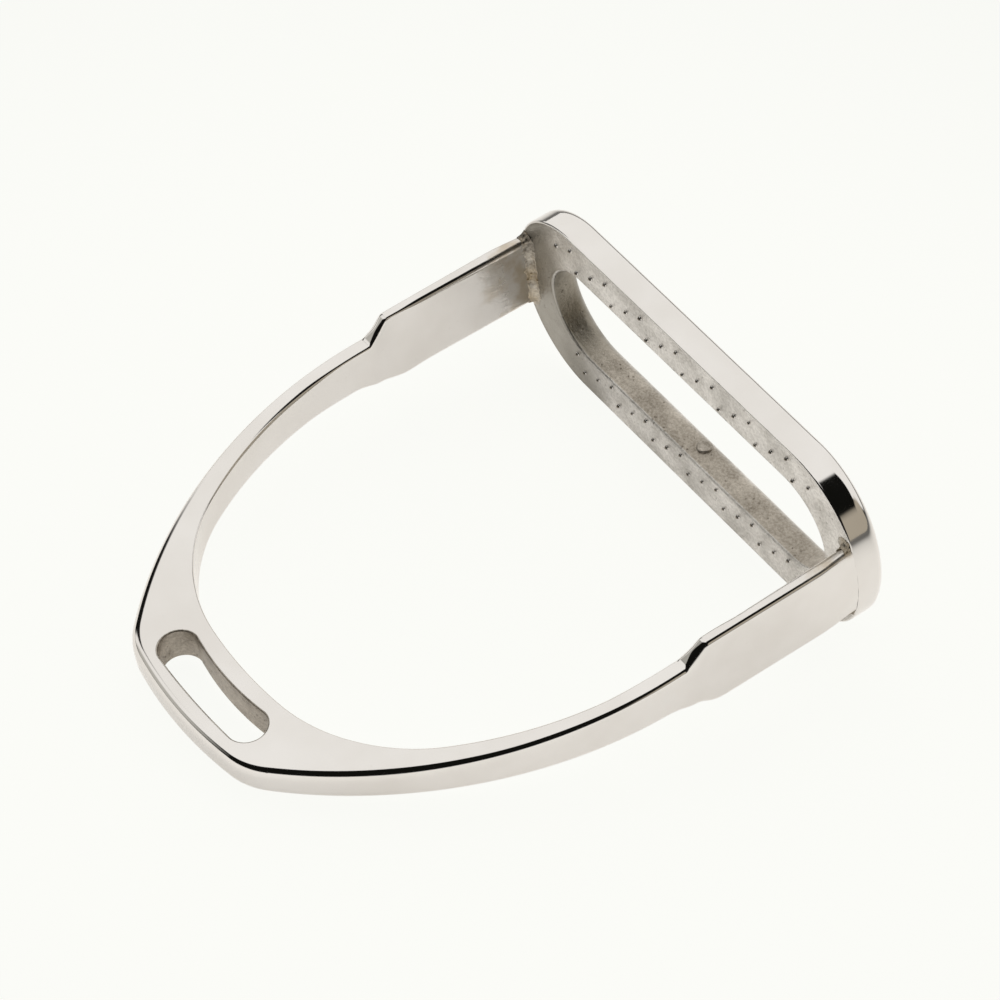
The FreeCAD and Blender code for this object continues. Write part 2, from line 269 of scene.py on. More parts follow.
# up one arm, over the arch and down the other; side is 1 for the outer line, -1 for the inner one
def wholeLine(side):
    if side > 0:
        arch = archLine(bowSet["armOuter"], bowSet["outerRadii"], bowSet["outerTop"])
        arm = [(Vector((bowSet["armOuter"], z)), Vector((1, 0))) for z in armHeights()]
    else:
        arch = archLine(bowSet["bowInner"], bowSet["innerRadii"], bowSet["innerTop"])
        arm = []
        for z in armHeights():
            slope = (innerArmX(z + 0.1) - innerArmX(z - 0.1)) / 0.2
            arm.append((Vector((innerArmX(z), z)), Vector((1, -slope)).normalized()))
    right = arm + arch
    left = [(Vector((-p.x, p.y)), Vector((-n.x, n.y))) for p, n in reversed(right[:-1])]
    return [(p, n * side) for p, n in right + left]


def faceNormal(depthAt, z, sign):
    slope = (depthAt(z + 0.05) - depthAt(z - 0.05)) / 0.1
    return Vector((0, sign, -slope)).normalized()


# one ring across the edge: front face, front edge, wall, back edge, back face
def edgeRing(point, normal, size, profile, wallSteps):
    ring = []
    out = Vector((normal.x, 0, normal.y))
    reach, drop, _ = profile[-1]
    for sign, depthAt in ((-1, frontDepth), (1, backDepth)):
        part = []
        for along, across, turn in profile:
            place = point + normal * (along - reach) * size
            face = faceNormal(depthAt, place.y, sign)
            y = sign * (depthAt(place.y) - across * size)
            slant = (face * math.cos(turn) + out * math.sin(turn)).normalized()
            part.append((Vector((place.x, y, place.y)), slant))
        ring.append(part)
    front = ring[0]
    back = list(reversed(ring[1]))
    wall = []
    for step in range(1, wallSteps):
        share = step / wallSteps
        wall.append((front[-1][0].lerp(back[0][0], share), out))
    return front + wall + back


# the arm's outer face runs out to the tread's rounded end
def flare(place):
    x, y, z = place
    low = treadSet["height"]
    share = (1 - smooth(low, low + bowSet["flare"], z)) ** 1.5
    if share > 0 and abs(x) > 64.3:
        edge = noseX(min(abs(y), 12.0))
        full = bowSet["armOuter"]
        return Vector((math.copysign(abs(x) + (edge - full) * share, x), y, z))
    return place


def slotLine():
    radius = eyeSlotSet["endRadius"]
    endX = eyeSlotSet["halfLength"] - radius
    line = []

    def rise(x, most):
        return most * (1 - (x / endX) ** 2)

    steps = eyeSlotSet["steps"]
    for step in range(steps):
        turn = blend(-math.pi / 2, math.pi / 2, step / steps)
        line.append(Vector((endX + radius * math.cos(turn), eyeSlotZ + radius * math.sin(turn))))
    for step in range(steps):
        x = blend(endX, -endX, step / steps)
        line.append(Vector((x, eyeSlotZ + radius + rise(x, eyeSlotSet["topRise"]))))
    for step in range(steps):
        turn = blend(math.pi / 2, math.pi * 1.5, step / steps)
        line.append(Vector((-endX + radius * math.cos(turn), eyeSlotZ + radius * math.sin(turn))))
    for step in range(steps):
        x = blend(-endX, endX, step / steps)
        line.append(Vector((x, eyeSlotZ - radius + rise(x, eyeSlotSet["bottomRise"]))))
    count = len(line)
    withNormals = []
    for k in range(count):
        way = line[(k + 1) % count] - line[k - 1]
        withNormals.append((line[k], Vector((-way.y, way.x)).normalized()))
    return withNormals


def inside(point, loop):
    found = False
    for k in range(len(loop)):
        a = loop[k]
        b = loop[k - 1]
        if (a.y > point.y) != (b.y > point.y):
            if point.x < (b.x - a.x) * (point.y - a.y) / (b.y - a.y) + a.x:
                found = not found
    return found


# triangles between closed loops of point numbers; flat gives (x, z)
def fillFace(flat, loops):
    numbers = [n for loop in loops for n in loop]
    place = {n: k for k, n in enumerate(numbers)}
    edges = []
    for loop in loops:
        edges += [(place[loop[k - 1]], place[loop[k]]) for k in range(len(loop))]
    verts = [Vector(flat[n]) for n in numbers]
    result = geometry.delaunay_2d_cdt(verts, edges, [], 1, 1e-6)
    outside = [Vector(flat[n]) for n in loops[0]]
    holes = [[Vector(flat[n]) for n in loop] for loop in loops[1:]]
    origin = [sources[0] for sources in result[3]]
    triangles = []
    for face in result[2]:
        middle = sum((result[0][k] for k in face), Vector((0, 0))) / 3
        if inside(middle, outside) and not any(inside(middle, loop) for loop in holes):
            triangles.append([numbers[origin[k]] for k in face])
    return triangles


# keeps a face that looks along the way given, and turns it over if it looks back
def addFacing(points, faces, face, way):
    a, b, c = (points[k] for k in face[:3])
    if (b - a).cross(c - a).dot(way) <= 0:
        face.reverse()
    faces.append(face)


def makeBow():
    points, normals, faces, cast = [], [], [], []
    rails = []
    for side, size, soft in ((1, outerEdgeSize, "outerSoft"), (-1, innerEdgeSize, "innerSoft")):
        profile = edgeProfile(bowSet["edgeSteps"], bowSet[soft])
        rows = []
        for point, normal in wholeLine(side):
            row = []
            for place, slant in edgeRing(point, normal, size(point.y), profile, bowSet["wallSteps"]):
                if side > 0:
                    place = flare(place)
                row.append(len(points))
                points.append(place)
                normals.append(slant)
                cast.append(0.0)
            rows.append(row)
        rails.append(rows)
        for k in range(len(rows) - 1):
            for j in range(len(rows[0]) - 1):
                quad = [rows[k][j], rows[k][j + 1], rows[k + 1][j + 1], rows[k + 1][j]]
                addFacing(points, faces, quad, normals[quad[0]] + normals[quad[2]])
    outer, inner = rails
    # slot through the eye
    profile = edgeProfile(eyeSlotSet["edgeSteps"], 0)
    slotRows = []
    for point, normal in slotLine():
        row = []
        for place, slant in edgeRing(point, normal, eyeSlotSet["edge"], profile, eyeSlotSet["wallSteps"]):
            row.append(len(points))
            points.append(place)
            normals.append(slant)
            cast.append(1.0)
        cast[row[0]] = 0.0
        cast[row[-1]] = 0.0
        slotRows.append(row)
    for k in range(len(slotRows)):
        for j in range(len(slotRows[0]) - 1):
            quad = [slotRows[k - 1][j], slotRows[k - 1][j + 1], slotRows[k][j + 1], slotRows[k][j]]
            addFacing(points, faces, quad, normals[quad[0]] + normals[quad[2]])
    # flat faces at the front and the back
    flat = [(p.x, p.z) for p in points]
    for end, way in ((0, Vector((0, -1, 0))), (-1, Vector((0, 1, 0)))):
        around = [row[end] for row in outer] + [row[end] for row in reversed(inner)]
        hole = [row[end] for row in slotRows]
        for triangle in fillFace(flat, [around, hole]):
            addFacing(points, faces, triangle, way)
    # feet
    for end in (0, -1):
        cap = outer[end] + list(reversed(inner[end]))
        a, b, c = (points[k] for k in (cap[0], cap[len(outer[end]) - 1], cap[-1]))
        if (b - a).cross(c - a).z >= 0:
            cap.reverse()
        faces.append(cap)
    return newPiece("bow_polished", points, faces, cast, normals)


# an oblong ring: rounded ends, a long slot, cast on the face and in the slot, polished elsewhere
treadSet = {"height": 7.4, "foot": -0.9, "halfLength": 67.0, "halfDepth": 26.15, "shift": 0.35,
            "cornerRadius": 22.5, "noseRadius": 34.0, "footRound": 3.2, "faceRound": 0.5,
            "slotHalfLength": 53.8, "slotHalf": 14.0, "slotChamfer": 0.6,
            "endSteps": 96, "sideSteps": 130, "faceRows": 17, "wallRows": 6, "underRows": 6,
            "slotRows": 14, "edgeSteps": 5, "footSteps": 9, "tuck": 0.12,
            "faceGrain": 0.05, "faceSwell": 0.10, "wallGrain": 0.06, "wallSwell": 0.12,
            "polishSwell": 0.03}
# stub of the casting gate in the slot's back wall
stubSet = {"x": 0.2, "z": 2.5, "steps": 28, "uneven": 0.05,
           "profile": ((0.0, 0.30), (0.9, 0.30), (1.25, 0.42), (1.6, 0.5), (1.85, 0.4),
                       (1.98, 0.1), (2.05, -0.3))}


# how far the tread's rounded end reaches
def noseX(y):
    centre = treadSet["halfLength"] - treadSet["noseRadius"]
    return centre + math.sqrt(treadSet["noseRadius"] ** 2 - y ** 2)


# right end from front to back, back side, left end, front side:
# outer place and normal, and the slot's direction for both
def treadStations():
    cornerY = treadSet["halfDepth"] - treadSet["cornerRadius"]
    noseCentre = treadSet["halfLength"] - treadSet["noseRadius"]
    apart = treadSet["noseRadius"] - treadSet["cornerRadius"]
    cornerX = noseCentre + math.sqrt(apart ** 2 - cornerY ** 2)
    turnAt = math.atan2(cornerY, cornerX - noseCentre)
    stations = []
    for side in (1, -1):
        for step in range(treadSet["endSteps"]):
            turn = blend(-math.pi / 2, math.pi / 2, step / treadSet["endSteps"])
            way = wayAt(turn)
            if abs(turn) < turnAt:
                place = Vector((noseCentre, 0)) + way * treadSet["noseRadius"]
            else:
                place = Vector((cornerX, math.copysign(cornerY, turn))) + way * treadSet["cornerRadius"]
            stations.append((place * side, way * side, way * side, side))
        for step in range(treadSet["sideSteps"]):
            share = step / treadSet["sideSteps"]
            place = Vector((blend(cornerX, -cornerX, share), treadSet["halfDepth"]))
            stations.append((place * side, Vector((0, side)), Vector((0, side)), side * (1 - 2 * share)))
    return stations


# the slot's outline, its half width changed by more
def slotPlace(way, share, more=0.0):
    endX = treadSet["slotHalfLength"] - treadSet["slotHalf"]
    return Vector((endX * share, treadSet["shift"])) + way * (treadSet["slotHalf"] + more)


# from the slot's rim over the face, down the wall, under and up the slot: place, way out, mark
def treadRing(outer, normal, way, share):
    top = treadSet["height"]
    foot = treadSet["foot"]
    tuck = treadSet["tuck"]
    underArm = 1 - smooth(9.4, 10.8, abs(outer.y)) if abs(outer.x) > 60 else 0.0
    outer = outer + Vector((0, treadSet["shift"]))
    up = Vector((0, 0, 1))
    out = Vector((normal.x, normal.y, 0))
    slotOut = -Vector((way.x, way.y, 0))
    ring = []
    size = treadSet["faceRound"] * (1 - 0.96 * underArm)
    footSize = treadSet["footRound"]
    chamfer = treadSet["slotChamfer"]

    def add(place, z, turned, mark):
        ring.append((Vector((place.x, place.y, z)), turned, mark))

    def row(first, last, z, turned, mark, rows):
        reach = (last - first).length
        for step in range(rows + 1):
            add(first.lerp(last, blend(tuck, reach - tuck, step / rows) / reach), z, turned, mark)

    rim = slotPlace(way, share, chamfer)
    add(rim, top, up * 0.8 - Vector((way.x, way.y, 0)) * 0.6, 0.75)
    row(rim, outer - normal * size, top, up, 1.0, treadSet["faceRows"])
    for along, across, turn in edgeProfile(treadSet["edgeSteps"], 0):
        add(outer + normal * (along - 1) * size, top - across * size,
            up * math.cos(turn) + out * math.sin(turn), 0.5 * math.cos(turn))
    for step in range(treadSet["wallRows"] + 1):
        z = blend(top - size - tuck, foot + footSize + tuck, step / treadSet["wallRows"])
        add(outer, z, out, 0.0)
    footEdge = edgeProfile(treadSet["footSteps"], 0)
    for along, across, turn in reversed(footEdge):
        add(outer + normal * (along - 1) * footSize, foot + across * footSize,
            -up * math.cos(turn) + out * math.sin(turn), 0.0)
    low = slotPlace(way, share, footSize)
    row(outer - normal * footSize, low, foot, -up, 0.0, treadSet["underRows"])
    for along, across, turn in footEdge:
        add(slotPlace(way, share, (1 - along) * footSize), foot + across * footSize,
            -up * math.cos(turn) + slotOut * math.sin(turn), 2.0 * math.sin(turn))
    for step in range(treadSet["slotRows"] + 1):
        z = blend(foot + footSize + tuck, top - chamfer - tuck, step / treadSet["slotRows"])
        add(slotPlace(way, share), z, slotOut, 2.0)
    add(slotPlace(way, share, 0.02), top - chamfer, slotOut * 0.8 + up * 0.6, 0.9)
    add(slotPlace(way, share, chamfer / 2), top - chamfer / 2, slotOut * 0.7 + up * 0.7, 0.6)
    return ring


# cast surfaces are uneven in the metal itself, not only in the finish
def roughen(place, way, cast):
    if cast > 1.5:
        grain, swell = treadSet["wallGrain"], treadSet["wallSwell"]
    elif cast > 0.95:
        grain, swell = treadSet["faceGrain"], treadSet["faceSwell"]
    else:
        grain, swell = 0.0, treadSet["polishSwell"]
    dip = grain * (noise.noise(place * 0.9 + Vector((7, 3, 1))) - 1)
    dip += swell * (noise.noise(place * 0.16) - 1)
    return place + way.normalized() * dip / 2


# quads between a ring of points and the ring that follows it
def addBand(faces, first, sides):
    for step in range(sides):
        a = first + step
        b = first + (step + 1) % sides
        faces.append([a, b, b + sides, a + sides])


# a round stub that stands on the slot's back wall
def addStub(points, faces, cast):
    start = len(points)
    steps = stubSet["steps"]
    wallY = treadSet["slotHalf"] + treadSet["shift"]
    for radius, height in stubSet["profile"]:
        for step in range(steps):
            turn = 2 * math.pi * step / steps
            x = math.cos(turn)
            z = math.sin(turn)
            reach = radius * (1 + stubSet["uneven"] * noise.noise(Vector((x, z, radius)) * 1.3))
            points.append(Vector((stubSet["x"] + x * reach, wallY - height, stubSet["z"] + z * reach)))
            cast.append(0.85)
    for ring in range(1, len(stubSet["profile"]) - 1):
        addBand(faces, start + ring * steps, steps)
    faces.append([start + steps + step for step in range(steps)])


def makeTread():
    points, faces, cast = [], [], []
    rings = []
    for outer, normal, way, share in treadStations():
        ring = []
        for place, out, mark in treadRing(outer, normal, way, share):
            ring.append(len(points))
            points.append(roughen(place, out, mark))
            cast.append(min(mark, 2.0) / 2)
        rings.append(ring)
    for k in range(len(rings)):
        for j in range(len(ring)):
            faces.append([rings[k - 1][j - 1], rings[k][j - 1], rings[k][j], rings[k - 1][j]])
    addStub(points, faces, cast)
    tread = newPiece("tread_casting", points, faces, cast)
    fixNormals(tread)
    return tread


def fixNormals(piece):
    mesh = bmesh.new()
    mesh.from_mesh(piece.data)
    bmesh.ops.recalc_face_normals(mesh, faces=mesh.faces)
    mesh.to_mesh(piece.data)
    mesh.free()


# a lumpy bead round the inner side of each arm's foot
weldSet = {"leg": 1.75, "lump": 0.5, "ripple": 0.14, "pitch": 1.6, "curveSteps": 7, "bury": 0.3,
           "apart": 40.0, "corner": 0.7, "cornerSteps": 8, "sideSteps": 14, "innerSteps": 90,
           "tallLump": 0.35, "skin": 0.07}


def weldPath(side):
    half = bowSet["armDepth"] / 2
    radius = weldSet["corner"]
    nearX = bowSet["armInnerFoot"] + radius
    farX = noseX(half) - 0.25
    sideSteps = weldSet["sideSteps"]
    corners = []

    def bend(y, start, end):
        for step in range(weldSet["cornerSteps"] + 1):
            way = wayAt(blend(start, end, step / weldSet["cornerSteps"]))
            corners.append((Vector((nearX, y)) + way * radius, way))

    for step in range(sideSteps):
        corners.append((Vector((blend(farX, nearX, step / sideSteps), -half)), Vector((0, -1))))
    bend(-half + radius, -math.pi / 2, -math.pi)
    for step in range(1, weldSet["innerSteps"]):
        y = blend(-half + radius, half - radius, step / weldSet["innerSteps"])
        corners.append((Vector((bowSet["armInnerFoot"], y)), Vector((-1, 0))))
    bend(half - radius, math.pi, math.pi / 2)
    for step in range(1, sideSteps + 1):
        corners.append((Vector((blend(nearX, farX, step / sideSteps), half)), Vector((0, 1))))
    return [(Vector((p.x * side, p.y)), Vector((w.x * side, w.y))) for p, w in corners]


def makeWeld(name, side):
    points, faces, rough = [], [], []
    rings = []
    along = 0.0
    last = None
    floorZ = treadSet["height"]
    for place, way in weldPath(side):
        if last is not None:
            along += (place - last).length
        last = place
        sample = Vector((along * 0.45, side * weldSet["apart"], 0.0))
        leg = weldSet["leg"] * (1 + weldSet["lump"] * noise.noise(sample)
                                + weldSet["ripple"] * abs(math.sin(math.pi * along / weldSet["pitch"])))
        tall = leg * (1 + weldSet["tallLump"] * noise.noise(sample + Vector((0, 0, 9))))
        ring = [(-weldSet["bury"], tall)]
        for step in range(weldSet["curveSteps"] + 1):
            turn = step / weldSet["curveSteps"] * math.pi / 2
            ring.append((leg * (1 - math.cos(turn)), tall * (1 - math.sin(turn))))
        ring.append((leg, -weldSet["bury"]))
        ring.append((-weldSet["bury"], -weldSet["bury"]))
        numbers = []
        for reach, height in ring:
            spot = place + way * reach
            lift = weldSet["skin"] * noise.noise(Vector((spot.x, spot.y, height)) * 2.2)
            point = Vector((spot.x, spot.y, floorZ + height)) + Vector((way.x, way.y, 0.7)) * lift
            edge = noseX(min(abs(point.y - treadSet["shift"]), 20)) - 0.2
            point.x = math.copysign(min(abs(point.x), edge), point.x)
            numbers.append(len(points))
            points.append(point)
            rough.append(0.6)
        rings.append(numbers)
    for k in range(1, len(rings)):
        for j in range(len(numbers)):
            faces.append([rings[k - 1][j - 1], rings[k][j - 1], rings[k][j], rings[k - 1][j]])
    faces.append(list(reversed(rings[0])))
    faces.append(rings[-1])
    weld = newPiece(name, points, faces, rough)
    fixNormals(weld)
    return weld


# grip points in slanted rows of three along each limb
gripSet = {"radius": 0.5, "height": 0.6, "pitch": 14.2, "rows": 8, "inRow": 3, "reach": 50.5,
           "front": (41.7, -15.9, 7.4), "frontStep": (-6.2, -3.05, 0),
           "back": (-39.3, 16.4, 7.4), "backStep": (5.9, 2.4, 0), "uneven": 0.14, "sides": 12,
           "profile": ((1.25, -0.12), (1.12, 0.02), (0.98, 0.12), (0.84, 0.35), (0.68, 0.62), (0.5, 0.86),
                       (0.27, 0.97))}


def gripMould():
    points, faces, height = [], [], []
    sides = gripSet["sides"]
    for radius, share in gripSet["profile"]:
        reach = radius * gripSet["radius"]
        for step in range(sides):
            turn = 2 * math.pi * step / sides
            points.append((math.cos(turn) * reach, math.sin(turn) * reach, share * gripSet["height"]))
            height.append(share)
    for ring in range(len(gripSet["profile"]) - 1):
        addBand(faces, ring * sides, sides)
    last = len(points) - sides
    points.append((0, 0, gripSet["height"]))
    height.append(1.0)
    for step in range(sides):
        faces.append([last + step, last + (step + 1) % sides, last + sides])
    faces.append([step for step in reversed(range(sides))])
    mesh = bpy.data.meshes.new("grip_mould")
    mesh.from_pydata(points, [], faces)
    smoothAndMark(mesh, "tip", height)
    return putInScene("grip_mould", mesh)


def gripTree(material):
    tree = bpy.data.node_groups.new("grip_rows", "GeometryNodeTree")
    face = tree.interface
    face.new_socket("Geometry", in_out="INPUT", socket_type="NodeSocketGeometry")
    for name, kind in (("First", "Vector"), ("Step", "Vector"), ("Pitch", "Float"), ("Rows", "Int"),
                       ("In Row", "Int"), ("Reach", "Float"), ("Uneven", "Float"), ("Seed", "Int"),
                       ("Mould", "Object")):
        face.new_socket(name, in_out="INPUT", socket_type="NodeSocket" + kind)
    face.new_socket("Geometry", in_out="OUTPUT", socket_type="NodeSocketGeometry")
    nodes, links = tree.nodes, tree.links
    start = nodes.new("NodeGroupInput")
    end = nodes.new("NodeGroupOutput")

    def put(kind, **inputs):
        node = nodes.new(kind)
        for name, value in inputs.items():
            feed(tree, node.inputs[name.replace("_", " ")], value)
        return node

    pitch = put("ShaderNodeCombineXYZ", X=start.outputs["Pitch"])
    rows = put("GeometryNodeMeshLine", Count=start.outputs["Rows"], Start_Location=start.outputs["First"],
               Offset=pitch.outputs[0])
    inRow = put("GeometryNodeMeshLine", Count=start.outputs["In Row"], Offset=start.outputs["Step"])
    spread = put("GeometryNodeInstanceOnPoints", Points=rows.outputs[0], Instance=inRow.outputs[0])
    places = put("GeometryNodeRealizeInstances", Geometry=spread.outputs[0])
    spot = nodes.new("GeometryNodeInputPosition")
    split = put("ShaderNodeSeparateXYZ", Vector=spot.outputs[0])
    size = mathNode(tree, "ABSOLUTE", split.outputs["X"])
    past = put("FunctionNodeCompare", A=size, B=start.outputs["Reach"])
    past.operation = "GREATER_THAN"
    kept = put("GeometryNodeDeleteGeometry", Geometry=places.outputs[0], Selection=past.outputs[0])
    mould = put("GeometryNodeObjectInfo", Object=start.outputs["Mould"])
    low = mathNode(tree, "SUBTRACT", 1.0, start.outputs["Uneven"])
    high = mathNode(tree, "ADD", 1.0, start.outputs["Uneven"])
    scale = put("FunctionNodeRandomValue", Seed=start.outputs["Seed"])
    for socket in scale.inputs:
        if socket.type == "VALUE" and socket.name in ("Min", "Max"):
            feed(tree, socket, low if socket.name == "Min" else high)
    scaleOut = [socket for socket in scale.outputs if socket.type == "VALUE" and socket.enabled][0]
    grips = put("GeometryNodeInstanceOnPoints", Points=kept.outputs[0],
                Instance=mould.outputs["Geometry"], Scale=scaleOut)
    real = put("GeometryNodeRealizeInstances", Geometry=grips.outputs[0])
    painted = put("GeometryNodeSetMaterial", Geometry=real.outputs[0], Material=material)
    links.new(painted.outputs[0], end.inputs[0])
    return tree


def makeGrips(material):
    mould = gripMould()
    tree = gripTree(material)
    sockets = {item.name: item.identifier for item in tree.interface.items_tree if item.in_out == "INPUT"}
    made = []
    for limb, pitch, seed in (("front", -gripSet["pitch"], 3), ("back", gripSet["pitch"], 8)):
        mesh = bpy.data.meshes.new("grips_" + limb)
        mesh.from_pydata([(0, 0, 0)], [], [])
        holder = putInScene("grips_" + limb, mesh)
        rows = holder.modifiers.new("rows", "NODES")
        rows.node_group = tree
        first = Vector(gripSet[limb]) - Vector((pitch, 0, 0))
        values = {"First": list(first), "Step": list(gripSet[limb + "Step"]), "Pitch": pitch,
                  "Rows": gripSet["rows"], "In Row": gripSet["inRow"], "Reach": gripSet["reach"],
                  "Uneven": gripSet["uneven"], "Seed": seed, "Mould": mould}
        for name, value in values.items():
            rows[sockets[name]] = value
        shaped = holder.evaluated_get(bpy.context.evaluated_depsgraph_get())
        made.append(bpy.data.meshes.new_from_object(shaped))
        bpy.data.objects.remove(holder)
    joined = bmesh.new()
    for plain in made:
        joined.from_mesh(plain)
    mesh = made[0]
    joined.to_mesh(mesh)
    joined.free()
    mesh.transform(toRow)
    mesh.name = "grip_points_cast"
    bpy.data.objects.remove(mould)
    return putInScene("grip_points_cast", mesh)


def newGroup(name, inputs):
    group = bpy.data.node_groups.new(name, "ShaderNodeTree")
    for label in inputs:
        group.interface.new_socket(label, in_out="INPUT", socket_type="NodeSocketFloat")
    start = group.nodes.new("NodeGroupInput")
    return group, start.outputs, group.nodes.new("ShaderNodeTexCoord").outputs["Object"]


def endGroup(group, **outputs):
    for label in outputs:
        group.interface.new_socket(label, in_out="OUTPUT", socket_type="NodeSocketFloat")
    end = group.nodes.new("NodeGroupOutput")
    for label, value in outputs.items():
        group.links.new(value, end.inputs[label])
    return group


def mathNode(tree, operation, first, second=None, third=None):
    node = tree.nodes.new("ShaderNodeMath")
    node.operation = operation
    for socket, value in zip(node.inputs, (first, second, third)):
        if value is not None:
            feed(tree, socket, value)
    return node.outputs[0]


def times(tree, first, second):
    return mathNode(tree, "MULTIPLY", first, second)


def timesPlus(tree, first, second, third):
    return mathNode(tree, "MULTIPLY_ADD", first, second, third)


# dot product of a direction with a fixed one, given as azimuth and elevation in degrees
def towards(tree, place, azimuth, elevation):
    turn = math.radians(azimuth)
    rise = math.radians(elevation)
    node = tree.nodes.new("ShaderNodeVectorMath")
    node.operation = "DOT_PRODUCT"
    tree.links.new(place, node.inputs[0])
    node.inputs[1].default_value = (math.sin(turn) * math.cos(rise), -math.cos(turn) * math.cos(rise),
                                    math.sin(rise))
    return node.outputs["Value"]


def noiseNode(tree, vector, scale, detail=2.0, rough=0.5, distortion=0.0):
    node = tree.nodes.new("ShaderNodeTexNoise")
    tree.links.new(vector, node.inputs["Vector"])
    setInput(node, "Scale", scale)
    setInput(node, "Detail", detail)
    setInput(node, "Roughness", rough)
    setInput(node, "Distortion", distortion)
    return node.outputs[0]


# distance to the nearest of scattered spots
def spotNode(tree, vector, scale):
    node = tree.nodes.new("ShaderNodeTexVoronoi")
    tree.links.new(vector, node.inputs["Vector"])
    setInput(node, "Scale", scale)
    return node.outputs["Distance"]


def stretchNode(tree, vector, scale, slant=0.0):
    node = tree.nodes.new("ShaderNodeMapping")
    tree.links.new(vector, node.inputs["Vector"])
    setInput(node, "Scale", scale)
    setInput(node, "Rotation", (0.0, 0.0, slant))
    return node.outputs[0]


def rangeNode(tree, value, low, high, outLow=0.0, outHigh=1.0):
    node = tree.nodes.new("ShaderNodeMapRange")
    node.interpolation_type = "SMOOTHSTEP"
    tree.links.new(value, node.inputs["Value"])
    setInput(node, "From Min", low)
    setInput(node, "From Max", high)
    setInput(node, "To Min", outLow)
    setInput(node, "To Max", outHigh)
    return node.outputs[0]


# pattern scales, in repeats to a metre
polishSet = {"waves": 62.0, "dents": 240.0, "lines": (3600.0, 260.0, 3600.0), "slant": 0.35,
             "pits": 330.0, "pitted": 150.0, "cloud": 46.0, "shade": 38.0,
             "dentShare": 0.10, "lineShare": 0.0035, "pitDepth": -0.25, "pitDark": -0.6}


# the wheel's long soft waves, fine polishing lines and small pits
def polishGroup():
    group, given, place = newGroup("wheel_polish", ("Waves", "Lines", "Pits"))
    waves = noiseNode(group, place, polishSet["waves"], 1.0, 0.4)
    dents = noiseNode(group, place, polishSet["dents"], 1.0, 0.5)
    brushed = stretchNode(group, place, polishSet["lines"], polishSet["slant"])
    lines = noiseNode(group, brushed, 1.0, 3.0, 0.6)
    pits = rangeNode(group, spotNode(group, place, polishSet["pits"]), 0.0, 0.16, 1.0, 0.0)
    rare = rangeNode(group, noiseNode(group, place, polishSet["pitted"], 0.0), 0.60, 0.66)
    pits = times(group, pits, rare)
    high = times(group, waves, given["Waves"])
    high = timesPlus(group, times(group, dents, polishSet["dentShare"]), given["Waves"], high)
    high = timesPlus(group, times(group, lines, polishSet["lineShare"]), given["Lines"], high)
    high = timesPlus(group, times(group, pits, polishSet["pitDepth"]), given["Pits"], high)
    haze = times(group, noiseNode(group, place, polishSet["cloud"], 3.0, 0.6), 0.5)
    haze = timesPlus(group, lines, 0.5, haze)
    haze = timesPlus(group, pits, 0.5, haze)
    shade = rangeNode(group, noiseNode(group, place, polishSet["shade"], 3.0, 0.55), 0.3, 0.75)
    shade = timesPlus(group, times(group, pits, polishSet["pitDark"]), given["Pits"], shade)
    return endGroup(group, Height=high, Haze=haze, Shade=shade)


castSet = {"grain": 1500.0, "lumps": 420.0, "pinholes": 780.0, "holed": 260.0, "blotches": 105.0,
           "lumpShare": 1.4, "holeDepth": -0.9, "holeHaze": 0.4, "speckle": 0.8}


# sand cast skin: close grain, pinholes and blotches
def castGroup():
    group, given, place = newGroup("sand_cast", ("Grain", "Pinholes", "Blotches"))
    grain = noiseNode(group, place, castSet["grain"], 4.0, 0.66)
    lumps = noiseNode(group, place, castSet["lumps"], 3.0, 0.55)
    holes = rangeNode(group, spotNode(group, place, castSet["pinholes"]), 0.05, 0.30, 1.0, 0.0)
    some = rangeNode(group, noiseNode(group, place, castSet["holed"], 1.0), 0.50, 0.62)
    holes = times(group, holes, some)
    pricked = times(group, holes, castSet["holeDepth"])
    high = times(group, grain, given["Grain"])
    high = timesPlus(group, times(group, lumps, castSet["lumpShare"]), given["Grain"], high)
    high = timesPlus(group, pricked, given["Pinholes"], high)
    haze = timesPlus(group, holes, castSet["holeHaze"], times(group, grain, 0.8))
    blotches = rangeNode(group, noiseNode(group, place, castSet["blotches"], 5.0, 0.65), 0.32, 0.72)
    speck = rangeNode(group, grain, 0.36, 0.66)
    shade = timesPlus(group, blotches, given["Blotches"], times(group, speck, castSet["speckle"]))
    shade = timesPlus(group, pricked, given["Pinholes"], shade)
    return endGroup(group, Height=high, Haze=haze, Shade=times(group, shade, 0.55))


# where heat and the painted shade at one end start and end, in metres along and across the iron
heatAndPaintedDarkSet = {"ragged": 130.0, "along": (0.040, 0.0605), "outerFace": (0.0654, 0.0661),
           "paintedDarkEnd": (-0.0425, -0.0300), "alongFray": 0.016, "acrossFray": 0.006, "slant": 0.35,
           "blows": (420.0, 170.0, 420.0)}
